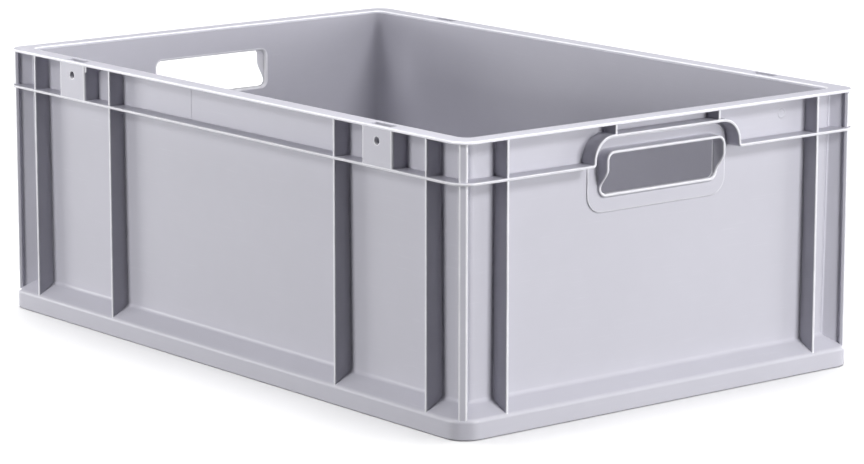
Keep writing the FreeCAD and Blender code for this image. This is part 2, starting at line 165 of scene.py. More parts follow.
# A plain block between two corners, used only for hidden or inner parts of a piece.
def block(low, high):
    x, y, z = zip(low, high)
    foot = np.array([(x[0], y[0]), (x[1], y[0]), (x[1], y[1]), (x[0], y[1])])
    return surface(np.stack([np.insert(foot, 2, level, 1) for level in z]))


# Joins surfaces into one mesh that rides on the crate and stands for the CAD nodes it covers.
def makePiece(name, parts, finish, nodes, sharpAngle=38):
    points, faces, wearAndHighlight, count = [], [], [], 0
    for flat, partFaces, partWear in parts:
        points.append(flat)
        wearAndHighlight.append(partWear)
        faces += [[corner + count for corner in face] for face in partFaces]
        count += len(flat)
    mesh = bpy.data.meshes.new(name)
    mesh.from_pydata(np.concatenate(points) * 0.001, [], faces)
    mesh.attributes.new("wearAndHighlight", "FLOAT", "POINT").data.foreach_set("value", np.concatenate(wearAndHighlight))
    work = bmesh.new()
    work.from_mesh(mesh)
    bmesh.ops.remove_doubles(work, verts=work.verts, dist=1e-6)
    bmesh.ops.recalc_face_normals(work, faces=work.faces)
    work.to_mesh(mesh)
    work.free()
    mesh.shade_smooth()
    mesh.set_sharp_from_angle(angle=math.radians(sharpAngle))
    mesh.materials.append(finish)
    piece = bpy.data.objects.new(name, mesh)
    bpy.context.scene.collection.objects.link(piece)
    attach(piece, "root")
    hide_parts(*nodes)
    return piece


# A value on its way between shader nodes: sums and products written in Python add Math nodes.
class Flow:
    def __init__(self, tree, socket):
        self.tree, self.socket = tree, socket

    def maths(self, operation, first, second):
        node = self.tree.nodes.new("ShaderNodeMath")
        node.operation = operation
        for slot, value in zip(node.inputs, (first, second)):
            if isinstance(value, Flow):
                self.tree.links.new(value.socket, slot)
            else:
                slot.default_value = value
        return Flow(self.tree, node.outputs[0])

    def __add__(self, other):
        return self.maths("ADD", self, other)

    def __sub__(self, other):
        return self.maths("SUBTRACT", self, other)

    def __rsub__(self, other):
        return self.maths("SUBTRACT", other, self)

    def __mul__(self, other):
        return self.maths("MULTIPLY", self, other)

    def __pow__(self, other):
        return self.maths("POWER", self, other)

    __radd__, __rmul__ = __add__, __mul__


# A material under construction: add() makes any node from its type, its settings and its sockets' values.
class Finish:
    def __init__(self, name):
        self.material = bpy.data.materials.new(name)
        self.material.use_nodes = True
        self.tree = self.material.node_tree
        self.tree.nodes.clear()

    def add(self, kind, settings=None, values=None, out=0):
        node = self.tree.nodes.new(kind)
        for key, value in (settings or {}).items():
            if key == "stops":
                for stop, (place, colour) in zip(node.color_ramp.elements, value):
                    stop.position, stop.color = place, colour
            else:
                setattr(node, key, value)
        for key, value in (values or {}).items():
            if isinstance(value, Flow):
                self.tree.links.new(value.socket, node.inputs[key])
            else:
                node.inputs[key].default_value = value
        return Flow(self.tree, node.outputs[out]) if out is not None else node

    def mixColour(self, factor, first, second):
        return self.add("ShaderNodeMix", {"data_type": "RGBA"}, {0: factor, 6: first, 7: second}, out=2)


plastic = {
    "colour": (0.475, 0.470, 0.527, 1),
    "edgeWearAndHighlightColour": (0.88, 0.88, 0.91, 1),   # rubbed edges, and painted highlight on rounded edges
    "rubAndHighlight": 0.9,                            # how much of it an edge shows: rubbed wear and painted highlight
    "roughness": 0.42,
    "grainDepth": 0.00006,                 # metres, of the mould's fine texture
    "grainScale": 1500,
    "mottle": 0.05,                        # share by which the tone drifts over the walls
    "scuffs": 0.10,
}


# Moulded polypropylene: fine sparked grain in the bump, a slow drift of tone, faint scuffs, paler edges
# (rubbed wear and painted highlight).
def mouldedPlastic(name, tone=1.0, roughness=0.0, grain=1.0):
    finish = Finish(name)
    place = finish.add("ShaderNodeTexCoord", out=3)
    drift = finish.add("ShaderNodeTexNoise", None,
                       {"Vector": place, "Scale": 7.0, "Detail": 3.0, "Roughness": 0.6})
    cloud = finish.add("ShaderNodeTexNoise", None, {"Vector": place, "Scale": 60.0, "Detail": 4.0})
    fine = finish.add("ShaderNodeTexNoise", None,
                      {"Vector": place, "Scale": plastic["grainScale"], "Detail": 2.0})
    cells = finish.add("ShaderNodeTexVoronoi", None, {"Vector": place, "Scale": plastic["grainScale"] * 0.6})
    brushed = finish.add("ShaderNodeMapping", None, {"Vector": place, "Rotation": (0.2, 0.5, 0.1),
                                                     "Scale": (30.0, 30.0, 900.0)})
    scratch = finish.add("ShaderNodeTexNoise", None, {"Vector": brushed, "Scale": 1.0, "Detail": 2.0})
    scuff = finish.add("ShaderNodeValToRGB", {"stops": ((0.60, (0, 0, 0, 1)), (0.80, (1, 1, 1, 1)))},
                       {"Fac": scratch}) * cloud * plastic["scuffs"]
    wornAndHighlighted = finish.add("ShaderNodeAttribute", {"attribute_name": "wearAndHighlight"}, out=2)
    rubbedAndHighlighted = wornAndHighlighted * (cloud * 0.7 + 0.35)
    base = tuple(min(1, c * tone * (1 - plastic["mottle"])) for c in plastic["colour"][:3]) + (1,)
    pale = tuple(min(1, c * tone * (1 + plastic["mottle"])) for c in plastic["colour"][:3]) + (1,)
    colour = finish.mixColour(drift * 0.7 + cloud * 0.3, base, pale)
    # pale edge colour over scuffs and rounded edges: rubbed wear, and painted highlight on the edges
    colour = finish.mixColour(scuff + rubbedAndHighlighted * plastic["rubAndHighlight"], colour, plastic["edgeWearAndHighlightColour"])
    rough = plastic["roughness"] + roughness - 0.05 + drift * 0.08 + fine * 0.05 + scuff * 0.4 - rubbedAndHighlighted * 0.10
    bump = finish.add("ShaderNodeBump", None, {"Strength": 0.5 * grain, "Distance": plastic["grainDepth"],
                                               "Height": fine * 0.7 + cells * 0.5 + cloud * 0.6})
    shader = finish.add("ShaderNodeBsdfPrincipled", None,
                        {"Base Color": colour, "Roughness": rough, "Normal": bump, "IOR": 1.49})
    finish.add("ShaderNodeOutputMaterial", None, {"Surface": shader}, out=None)
    return finish.material


wallPlastic = mouldedPlastic("wallPlastic")
edgePlastic = mouldedPlastic("edgePlastic", tone=1.03, roughness=-0.04, grain=0.7)
# the rim's paler tone is painted light: it stands for the overhead light falling on the rim's top
rimPlasticPaintedLight = mouldedPlastic("rimPlasticPaintedLight", tone=1.12, roughness=-0.06, grain=0.6)
basePlastic = mouldedPlastic("basePlastic", tone=1.02, roughness=-0.02, grain=0.8)
print("finishes ready")

wallStopX, wallStopY = halfLength - tub["cornerSpan"], halfWidth - tub["cornerSpan"]


# Ring round the whole crate from a closed profile of (inset, level) and a corner radius for each point of it.
def ring(profile, radius, wearAndHighlight, stopsX=(), stopsY=(), steps=10, leave=None):
    stopsX = [*stopsX, -wallStopX, wallStopX]
    stopsY = [*stopsY, -wallStopY, wallStopY]
    plan = outline(profile[:, 0], radius, stopsX, stopsY, steps)
    level = np.broadcast_to(profile[:, 1, None, None], plan.shape[:2] + (1,))
    return surface(np.concatenate([plan, level], -1), wearAndHighlight[:, None], closedRows=True, leave=leave)


# Top rim.
rim = {
    "outerRadius": 14.0, "innerRadius": 8.0,        # in plan
    "edges": (0.6, 0.9, 0.9, 0.3),                  # rounding: outer low, outer high, inner high, inner low
    "slotInset": (3.5, 10.5),                       # hinge slots, from the outline
    "slotHalf": 12.5,
}
rimInner = tub["topInset"] + tub["thickness"]
slotX = sorted({round(float(sum(span(f"hinge_block_{k}"))[0] / 2), 3) for k in (1, 2, 3, 4)})
profile, wearAndHighlight = softCorners([(0, rimUnder), (0, rimTop), (rimInner, rimTop), (rimInner, rimUnder)],
                            rim["edges"])
near, far = rim["slotInset"]
upper = [[near, rimTop], [far, rimTop]]
lower = [[far, rimUnder], [near, rimUnder]]
cornerCount = len(profile) // 4
profile = np.concatenate([profile[:2 * cornerCount], upper, profile[2 * cornerCount:], lower])
wearAndHighlight = np.concatenate([wearAndHighlight[:2 * cornerCount], [0, 0], wearAndHighlight[2 * cornerCount:], [0, 0]])
radius = rim["outerRadius"] + (rim["innerRadius"] - rim["outerRadius"]) * profile[:, 0] / rimInner


# True for a face in the middle of a hinge slot.
def inSlot(centre):
    inset = halfWidth - np.abs(centre[:, 1])
    along = np.min([np.abs(centre[:, 0] - x) for x in slotX], 0)
    return (inset > near) & (inset < far) & (along < rim["slotHalf"])


slotStops = [x + side * rim["slotHalf"] for x in slotX for side in (-1, 1)]
parts = [ring(profile, radius, wearAndHighlight, stopsX=slotStops, leave=inSlot)]
for x in slotX:                                      # the four sides of each slot through the rim
    start, end = x - rim["slotHalf"], x + rim["slotHalf"]
    for sy in (-1, 1):
        loop = np.array([(start, near), (end, near), (end, far), (start, far)])
        sides = np.stack([np.stack([loop[:, 0], sy * (halfWidth - loop[:, 1]), np.full(4, level)], -1)
                          for level in (rimUnder, rimTop)])
        parts.append(surface(sides, capped=False))
topRim = makePiece("topRim", parts, rimPlasticPaintedLight, ["top_rim"])
print("rim done")

# Tub: floor, long walls, corners.
innerFoot = tub["footInset"] + tub["thickness"]
fillet = tub["floorFillet"]
flat = {"inset": 90.0, "radius": 20.0}               # the inner loop of the floor, where it is flat
sweep = np.linspace(0, math.pi / 2, 8)
floorRows = np.concatenate([
    [(flat["inset"], floorTop), (innerFoot + fillet + 1, floorTop)],
    np.stack([innerFoot + fillet * (1 - np.sin(sweep)), floorTop + fillet * (1 - np.cos(sweep))], -1),
    [(innerFoot - 0.6, floorTop + fillet), (innerFoot - 0.6, floorUnder),
     (flat["inset"], floorUnder)]])
floorRadius = np.where(floorRows[:, 0] == flat["inset"], flat["radius"],
                       tub["cornerRadius"] - tub["thickness"] + 0.8 * (floorRows[:, 0] - innerFoot))
floorPlan = outline(floorRows[:, 0], floorRadius, [0], [0], 8)   # the flat loop has no room for wall stops
floorLevels = np.broadcast_to(floorRows[:, 1, None, None], floorPlan.shape[:2] + (1,))
makePiece("floorPanel", [surface(np.concatenate([floorPlan, floorLevels], -1))], wallPlastic,
          ["floor"])

wallProfile = np.array([(wallInset(floorUnder), floorUnder), (wallInset(rimUnder), rimUnder),
                        (wallInset(rimUnder) + tub["thickness"], rimUnder),
                        (wallInset(floorUnder) + tub["thickness"], floorUnder)])
witness = {"x": -52.0, "width": 0.5, "proud": 0.22}   # parting line of the mould on the front upper band
for sideName, sy in (("front", -1), ("back", 1)):
    ends = np.stack([np.stack([np.full(4, x), sy * (halfWidth - wallProfile[:, 0]), wallProfile[:, 1]], -1)
                     for x in (-wallStopX, wallStopX)])
    parts = [surface(ends)]
    if sy < 0:
        cut = np.array([(-1, 0.3), (-0.3, -1), (0.3, -1), (1, 0.3)])
        cut *= (witness["width"] / 2, witness["proud"])
        lineRows = [np.stack([witness["x"] + cut[:, 0], sy * (halfWidth - wallInset(z) - cut[:, 1]),
                              np.full(4, z)], -1) for z in (flangeTop - 0.2, rimUnder + 0.2)]
        parts.append(surface(np.stack(lineRows)))
    makePiece(f"longWall_{sideName}", parts, wallPlastic, [f"long_wall_{sideName}"])

cornerRadii = np.array([tub["cornerRadius"]] * 2 + [tub["cornerRadius"] - tub["thickness"]] * 2)
plan = outline(wallProfile[:, 0], cornerRadii, [-wallStopX, wallStopX], [-wallStopY, wallStopY], 12)
perSide = plan.shape[1] // 4
for number, quarter in ((2, 0), (3, 1), (4, 2), (1, 3)):
    pick = (np.arange(perSide) + quarter * perSide - 1) % plan.shape[1]
    levels = np.broadcast_to(wallProfile[:, 1, None, None], (4, perSide, 1))
    corner = np.concatenate([plan[:, pick], levels], -1)
    makePiece(f"wallCorner_{number}", [surface(corner, closedRows=True, closedColumns=False)], wallPlastic,
              [f"wall_corner_{number}"])
print("tub walls done")

# End walls with the hand hole and its raised pad.
collarLow, collarHigh = span("grip_collar_right")
grip = {
    "halfHole": 57.5, "holeRadius": 5.0, "holeEdge": 1.9,
    "collarThickness": collarHigh[1] - 57.5,
    "padHalf": 69.5, "padLow": 150.5, "padHigh": 206.0, "padRadius": 14.0,
    "padFace": collarLow[0],            # X of the pad's face and of the collar's back
    "collarFoot": halfLength - 11.0, "curve": (168.0, 185.0),  # the S-curve of the collar's ends
}
grip["low"], grip["high"] = collarLow[2] + grip["collarThickness"], collarHigh[2] - grip["collarThickness"]


# Four-cornered (y, z) loop with rounded corners. Evenly spaced stops along its two upright sides let a
# surface bend there, and all such loops have the same number of points, so any two can be joined row to row.
def uprightLoop(y, low, high, radius, stops=12):
    loop = softCorners([(-y, low), (y, low), (y, high), (-y, high)], [radius] * 4, 8, 0.8)[0]
    t, half = np.linspace(0, 1, stops + 2)[1:-1, None], len(loop) // 2
    rightSide = loop[half - 1] * (1 - t) + loop[half] * t
    leftSide = loop[-1] * (1 - t) + loop[0] * t
    return np.concatenate([loop[:half], rightSide, loop[half:], leftSide])


# Loop round the hand hole, grown by an offset.
def holeLoop(grow):
    return uprightLoop(grip["halfHole"] + grow, grip["low"] - grow, grip["high"] + grow,
                       grip["holeRadius"] + grow)


# Loop round the raised pad, grown by an offset.
def padLoop(grow):
    return uprightLoop(grip["padHalf"] + grow, grip["padLow"] - grow, grip["padHigh"] + grow,
                       grip["padRadius"] + grow)


# X of the end wall's outer face, of its inner face and of the pad's face at each point of a loop.
def outerX(loop):
    return halfLength - wallInset(loop[:, 1])


def innerX(loop):
    return outerX(loop) - tub["thickness"]


def padX(loop):
    return np.full(len(loop), grip["padFace"])


rectangle = uprightLoop(wallStopY, floorUnder, rimUnder, 0)
mark = {"y": 129.5, "z": 206.0, "radius": 4.6, "proud": 0.35}    # round ejector mark on the upper band
for sideName, sx in (("left", -1), ("right", 1)):
    edge = grip["holeEdge"]
    turn = np.linspace(0, math.pi / 2, 5)
    # rows with weight 1 get the pale edge colour: rubbed wear and painted highlight
    rows = [(rectangle, innerX(rectangle), 0)]
    rows += [(holeLoop(edge + 0.5), innerX(holeLoop(edge + 0.5)), 0)]
    rows += [(holeLoop(edge * (1 - math.sin(t))), innerX(holeLoop(edge * (1 - math.sin(t))))
              + edge * (1 - math.cos(t)), 1) for t in turn]
    rows += [(holeLoop(0), padX(rectangle), 0), (padLoop(-1.2), padX(rectangle), 0)]
    rows += [(padLoop(-0.6), padX(rectangle), 0.5), (padLoop(-0.25), padX(rectangle) - 0.12, 1),
             (padLoop(0), padX(rectangle) - 0.4, 1)]
    rows += [(padLoop(0.15), outerX(padLoop(0.15)) + 0.15, 0), (padLoop(0.5), outerX(padLoop(0.5)), 0),
             (padLoop(1.5), outerX(padLoop(1.5)), 0), (rectangle, outerX(rectangle), 0)]
    points = np.stack([np.column_stack([sx * x, loop]) for loop, x, _ in rows])
    parts = [surface(points, np.array([[w] for _, _, w in rows]), closedRows=True)]
    # the ejector mark: a low ring, height exp(-((r - 0.75) / 0.14)^2) over a disc of radius 1
    r = np.linspace(1, 0.02, 19)[:, None]
    angle = np.linspace(0, 2 * math.pi, 33)[None, :-1]
    dome = np.stack(np.broadcast_arrays(
        sx * (halfLength - wallInset(mark["z"]) + mark["proud"] * np.exp(-((r - 0.75) / 0.14) ** 2) - 0.04),
        sx * mark["y"] + mark["radius"] * r * np.cos(angle),
        mark["z"] + mark["radius"] * r * np.sin(angle)), -1)
    parts.append(surface(dome))
    makePiece(f"endWall_{sideName}", parts, wallPlastic, [f"end_wall_{sideName}"])

# Collar: the hole's outline carried forward to an S-shaped front, rounded over between its two skins.
thick = grip["collarThickness"]
collarFront = collarHigh[0]


def collarX(loop):
    low, high = grip["curve"]
    s = np.clip((loop[:, 1] - low) / (high - low), 0, 1)
    return grip["collarFoot"] + (collarFront - grip["collarFoot"]) * (0.5 - 0.5 * np.cos(math.pi * s))


for sideName, sx in (("left", -1), ("right", 1)):
    skirt = holeLoop(thick + 2.2)
    rows = [(skirt, padX(rectangle) - 0.5, 0), (skirt, padX(rectangle) - 0.02, 0)]
    rows += [(holeLoop(thick + 1.4 * (1 - math.sin(t))), padX(rectangle) + 1.4 * (1 - math.cos(t)), 0)
             for t in np.linspace(0, math.pi / 2, 5)]
    rows += [(holeLoop(thick), collarX(holeLoop(thick)) - thick / 2 - 0.2, 0)]
    # the rounded front gets the pale edge colour: rubbed wear and painted highlight
    for t in np.linspace(-math.pi / 2, math.pi / 2, 9):
        loop = holeLoop(thick / 2 * (1 - math.sin(t)))
        rows.append((loop, collarX(loop) - thick / 2 * (1 - math.cos(t)), 1))
    rows += [(holeLoop(0), collarX(holeLoop(0)) - thick / 2 - 0.2, 0),
             (holeLoop(0), padX(rectangle) - 0.5, 0)]
    points = np.stack([np.column_stack([sx * x, loop]) for loop, x, _ in rows])
    wearAndHighlight = np.array([[w] for _, _, w in rows])
    makePiece(f"gripCollar_{sideName}", [surface(points, wearAndHighlight, closedRows=True)],
              edgePlastic, [f"grip_collar_{sideName}"])
print("hand grips done")

# Middle flange, rising into an arch over each hand grip.
archHigh = span("grip_arch_right")[1]
flange = {"outerRadius": 14.0, "innerRadius": 9.0, "edge": 0.8, "footFillet": 2.4, "archRadius": 17.6}
flangeMid, flangeHalf = (flangeUnder + flangeTop) / 2, (flangeTop - flangeUnder) / 2
legY, archMid = archHigh[1] - flangeHalf, archHigh[2] - flangeHalf
archPath = softCorners([(-wallStopY - 40, flangeMid), (-legY, flangeMid), (-legY, archMid), (legY, archMid),
                        (legY, flangeMid), (wallStopY + 40, flangeMid), (0, 100)],
                       [0, flange["footFillet"], flange["archRadius"], flange["archRadius"],
                        flange["footFillet"], 0, 0], 10, 0.5)[0][13:5 * 13]
heading = np.gradient(archPath, axis=0)
heading /= np.linalg.norm(heading, axis=1, keepdims=True)
buried = tub["footInset"] + 0.2
profile, wearAndHighlight = softCorners([(0, -flangeHalf), (0, flangeHalf), (buried, flangeHalf), (buried, -flangeHalf)],
                            [flange["edge"], flange["edge"], 0, 0])
radius = flange["outerRadius"] + (flange["innerRadius"] - flange["outerRadius"]) * profile[:, 0] / buried
plan = outline(profile[:, 0], radius, [-wallStopX, wallStopX],
               [-wallStopY, *np.arange(len(archPath)), wallStopY])
# the arch's columns are found by their place: after each corner come the stops of the next side
perCorner, count = 11, len(archPath)
columns = plan.shape[1]
tilt = np.zeros((columns, 2)) + (0, 1)
place = np.zeros((columns, 2)) + (0, flangeMid)
place[:, 0] = plan[0, :, 1]
sideOf = {"right": perCorner + 1, "left": 3 * perCorner + count + 5}
for sideName, step in (("right", 1), ("left", -1)):
    pick = np.arange(sideOf[sideName], sideOf[sideName] + count)
    place[pick] = archPath[::step]
    tilt[pick] = np.stack([-heading[:, 1], heading[:, 0]], -1)[::step]
offset = profile[:, 1, None]
onArch = np.zeros(columns, bool)
for start in sideOf.values():
    onArch[start:start + count] = True
y = np.where(onArch, place[:, 0] + tilt[:, 0] * offset, plan[:, :, 1])
z = place[:, 1] + tilt[:, 1] * offset
makePiece("middleFlange", [surface(np.stack([plan[:, :, 0], y, z], -1), wearAndHighlight[:, None], closedRows=True)],
          edgePlastic,
          ["middle_flange_front", "middle_flange_back", "grip_arch_left", "grip_arch_right"])
print("flange done")

# Base ring: upright band, sloping ledge, hollow skirt.
base = {"outerRadius": 18.0, "band": 15.0, "skirt": 3.0, "footEdge": 1.3, "bandEdge": 3.6, "wallFillet": 4.5,
        "rise": 4.0,                        # how far its fillet may run up the wall
        "rubAndHighlight": 0.12}                        # its edges get little rubbed wear and little painted highlight
inset = tub["footInset"]
corners = [(0, 0), (0, base["band"]), (inset - 0.15, ledgeTop - 0.2), (inset - 0.15, ledgeTop + base["rise"]),
           (inset + 0.9, ledgeTop + base["rise"]), (inset + 0.9, ledgeTop - base["skirt"]),
           (base["skirt"], base["band"] - base["skirt"]), (base["skirt"], 0)]
profile, wearAndHighlight = softCorners(corners, [base["footEdge"], base["bandEdge"], base["wallFillet"],
                                      0, 0, 0.5, 1.5, 0.8], 7)
# the base ring's pale edge (rubbed wear and painted highlight) is kept faint, on the outer band only
wearAndHighlight *= base["rubAndHighlight"] * (profile[:, 0] < 2)
share = np.clip(profile[:, 0] / inset, 0, 1)
radius = base["outerRadius"] + (tub["cornerRadius"] - base["outerRadius"]) * share
baseNodes = [f"base_{part}_{side}" for part in ("band", "ledge")
             for side in ("front", "back", "left", "right")]
baseNodes += [f"base_corner_{k}" for k in (1, 2, 3, 4)]
makePiece("baseRing", [ring(profile, radius, wearAndHighlight, steps=12)], basePlastic, baseNodes)
print("base done")

# Upright ribs and small webs.
ribs = {"inset": 0.9, "half": 1.1, "edge": 0.7, "rootFillet": 0.7}


# Level of the sloping ledge under a point at an inset.
def ledgeLevel(inset):
    return base["band"] + (ledgeTop - base["band"]) * np.clip(inset / tub["footInset"], 0, 1)


# Plate that stands out from a wall: its plan is a loop of (along, inset) with a rounded outer edge and flared
# root, where inset = own part + share of the wall's inset; the loop is carried from foot to top.
def ribSurface(half, edgeInset, footOf, top, root=ribs["rootFillet"], edge=ribs["edge"]):
    t = np.linspace(0, math.pi / 2, 5)
    flare = np.stack([half + root * (1 - np.sin(t)), -root * (1 - np.cos(t))], -1)       # on the wall
    nose = np.stack([half - edge * (1 - np.cos(t)), edgeInset + edge * (1 - np.sin(t))], -1)
    along = np.concatenate([flare[:, 0], [half], [half], nose[:, 0]])
    own = np.concatenate([flare[:, 1], [-root - 0.4], [edgeInset + edge + 0.4], nose[:, 1]])
    share = np.concatenate([np.ones(len(flare) + 1), np.zeros(len(nose) + 1)])
    # the rounded nose gets the pale edge colour: rubbed wear and painted highlight
    wearAndHighlight = np.concatenate([np.zeros(len(flare) + 2), np.ones(len(nose))])
    along = np.concatenate([[half + root], along, -along[::-1], [-half - root]])
    own = np.concatenate([[0.8], own, own[::-1], [0.8]])
    share = np.concatenate([[1], share, share[::-1], [1]])
    wearAndHighlight = np.concatenate([[0], wearAndHighlight, wearAndHighlight[::-1], [0]])
    levels = []
    for end in ("foot", "top"):
        level = np.full(len(along), float(top))
        if end == "foot":
            level = footOf(own + share * tub["footInset"])
        inset = own + share * wallInset(level)
        levels.append(np.stack([along, inset, level], -1))
    return np.stack(levels), wearAndHighlight


# Puts (along, inset, level) points on one side of the crate.
def onSide(points, sideName, centre):
    along, inset, level = points[..., 0], points[..., 1], points[..., 2]
    if sideName in ("front", "back"):
        return np.stack([centre + along, (1 if sideName == "back" else -1) * (halfWidth - inset), level], -1)
    return np.stack([(1 if sideName == "right" else -1) * (halfLength - inset), centre + along, level], -1)


for sideName, count in (("front", 4), ("back", 4), ("left", 2), ("right", 2)):
    for k in range(1, count + 1):
        low, high = span(f"rib_{sideName}_{k}")
        centre = ((low + high) / 2)[0 if count == 4 else 1]
        points, wearAndHighlight = ribSurface(ribs["half"], ribs["inset"], lambda inset: ledgeLevel(inset) - 1.0,
                                  rimUnder + 0.4)
        makePiece(f"rib_{sideName}_{k}_plate", [surface(onSide(points, sideName, centre), wearAndHighlight)], edgePlastic,
                  [f"rib_{sideName}_{k}"])

for sideName in ("left", "right"):
    for k in (1, 2):
        low, high = span(f"grip_web_{sideName}_{k}")
        points, wearAndHighlight = ribSurface(1.0, ribs["inset"], lambda inset: np.full(len(inset), low[2] - 0.8),
                                  rimUnder + 0.4, root=0.8)
        makePiece(f"gripWeb_{sideName}_{k}", [surface(onSide(points, sideName, (low + high)[1] / 2), wearAndHighlight)],
                  edgePlastic, [f"grip_web_{sideName}_{k}"])
for k, sideName in ((1, "front"), (2, "back")):
    low, high = span(f"clip_web_{k}")
    reach = halfWidth - max(abs(low[1]), abs(high[1]))
    points, wearAndHighlight = ribSurface(1.0, reach, lambda inset: low[2] + 0 * inset, rimUnder + 0.4, root=0.6)
    makePiece(f"clipWeb_{k}", [surface(onSide(points, sideName, (low + high)[0] / 2), wearAndHighlight)], edgePlastic,
              [f"clip_web_{k}"])
print("ribs and webs done")

# Corner posts: a web along the diagonal that ends in a rounded bead.
post = {"web": 1.1, "beadHalf": 3.25, "beadDepth": 3.4, "beadInset": 2.4, "beadEdge": 1.3}
rootTwo = math.sqrt(2)


# Distance along the diagonal from the square corner of the outline to a rounded corner at an inset.
def cornerReach(inset, radius):
    return (inset + radius) * rootTwo - radius


front = cornerReach(0, rim["outerRadius"]) + post["beadInset"]
ledgeOut = cornerReach(0, base["outerRadius"])
ledgeIn = cornerReach(tub["footInset"], tub["cornerRadius"])
for number, (sx, sy) in ((1, (-1, -1)), (2, (1, -1)), (3, (1, 1)), (4, (-1, 1))):
    rows = []
    for level in (base["band"], rimUnder + 0.4):
        wall = cornerReach(wallInset(level), tub["cornerRadius"])
        back, web, bead = front + post["beadDepth"], post["web"], post["beadHalf"]
        oneSide = [(web + 2, wall + 1), (web + 2, wall), (web, wall), (web, back),
                   (bead, back), (bead, front)]
        corners = [(-across, depth) for across, depth in oneSide] + oneSide[::-1]
        rounding = [0, 0, 1.6, 0.7, 0.5, post["beadEdge"]]
        loop, wearAndHighlight = softCorners(corners, rounding + rounding[::-1], 5, 0.15)
        # pale edge colour (rubbed wear and painted highlight) only on the bead's front
        wearAndHighlight *= loop[:, 1] < front + post["beadEdge"]
        t = np.clip((loop[:, 1] - ledgeOut) / (ledgeIn - ledgeOut), 0, 1)
        onLedge = base["band"] + (ledgeTop - base["band"]) * t - 1
        height = onLedge if level == base["band"] else np.full(len(loop), level)
        rows.append(np.stack([sx * halfLength + (-sx * loop[:, 1] - sy * loop[:, 0]) / rootTwo,
                              sy * halfWidth + (-sy * loop[:, 1] + sx * loop[:, 0]) / rootTwo, height], -1))
    makePiece(f"cornerPost_{number}_bead", [surface(np.stack(rows), wearAndHighlight)], edgePlastic,
              [f"corner_post_{number}"])
print("posts done")

# Hinge blocks: a face plate with a pin hole before a pocket that opens through the rim.
hinge = {"face": 0.5, "pinRadius": 2.9, "pinLevel": 208.5, "edge": 1.7, "pocketFloor": 196.0}


# The plate's outline drawn in or out at its upright sides only.
def plateLoop(outer, grow):
    return outer * [1 + grow / outer[:, 0].max(), 1]


for number in (1, 2, 3, 4):
    low, high = span(f"hinge_block_{number}")
    centre, sy = (low + high)[0] / 2, 1 if high[1] > 0 else -1
    half = (high - low)[0] / 2
    foot, top = low[2] - 0.3, rimUnder + 0.3
    # the plate's outline and the pin hole share their points: each side of the plate, cut into equal steps,
    # faces the part of the circle between the same two corners, cut into equal angles
    corners = np.array([(-half, foot), (half, foot), (half, top), (-half, top)])
    middle = np.array([0, hinge["pinLevel"]])
    step = np.arange(12)[None, :, None] / 12
    outer = (corners[:, None] * (1 - step) + np.roll(corners, -1, 0)[:, None] * step).reshape(-1, 2)
    bearing = np.unwrap(np.arctan2(*(corners - middle).T[::-1]))
    bearing = np.append(bearing, bearing[0] + 2 * math.pi)
    angle = (bearing[:-1, None] * (1 - step[0].T) + bearing[1:, None] * step[0].T).ravel()
    circle = np.stack([np.cos(angle), np.sin(angle)], -1)
    upright = (np.abs(outer[:, 0]) > half - 0.01) * 1.0     # pale edge colour, rubbed wear and painted highlight, only along the two upright edges
    t = np.linspace(0, math.pi / 2, 4)
    rows = [(middle + circle * hinge["pinRadius"], near, 0)]
    rows += [(middle + circle * (hinge["pinRadius"] + 0.5 * (1 - math.cos(a))),
              hinge["face"] + 0.5 * (1 - math.sin(a)), 1) for a in t]
    rows += [(middle + circle * (hinge["pinRadius"] + 0.9), hinge["face"], 0),
             (plateLoop(outer, -hinge["edge"] - 0.4), hinge["face"], 0)]
    rows += [(plateLoop(outer, -hinge["edge"] * (1 - math.sin(a))),
              hinge["face"] + hinge["edge"] * (1 - math.cos(a)), upright) for a in t]
    rows += [(outer, hinge["face"] + hinge["edge"] + 0.3, 0), (outer, near, 0)]
    plate = np.stack([np.column_stack([loop[:, 0] + centre, np.full(len(loop), sy * (halfWidth - depth)),
                                       loop[:, 1]]) for loop, depth, _ in rows])
    wearAndHighlight = np.stack([np.broadcast_to(w, len(outer)) for _, _, w in rows])
    parts = [surface(plate, wearAndHighlight, closedRows=True)]
    deep = tub["topInset"] + 1.0
    pocket, sunk, trim = rim["slotHalf"], 0.3, 0.05
    # two cheeks, the pocket's floor and its back; each is sunk a little into the next, so none share a corner
    for x0, x1, i0, i1, z0, z1 in (
            (-half + trim, -pocket, near - sunk, deep, foot, top),
            (pocket, half - trim, near - sunk, deep, foot, top),
            (-pocket - sunk, pocket + sunk, near - 2 * trim, deep - trim, foot + trim, hinge["pocketFloor"]),
            (-pocket - sunk, pocket + sunk, far, deep - 2 * trim, hinge["pocketFloor"] - sunk, top - trim)):
        ys = sorted((sy * (halfWidth - i0), sy * (halfWidth - i1)))
        parts.append(block((centre + x0, ys[0], z0), (centre + x1, ys[1], z1)))
    makePiece(f"hingeBlock_{number}", parts, edgePlastic, [f"hinge_block_{number}"])
print("hinge blocks done")

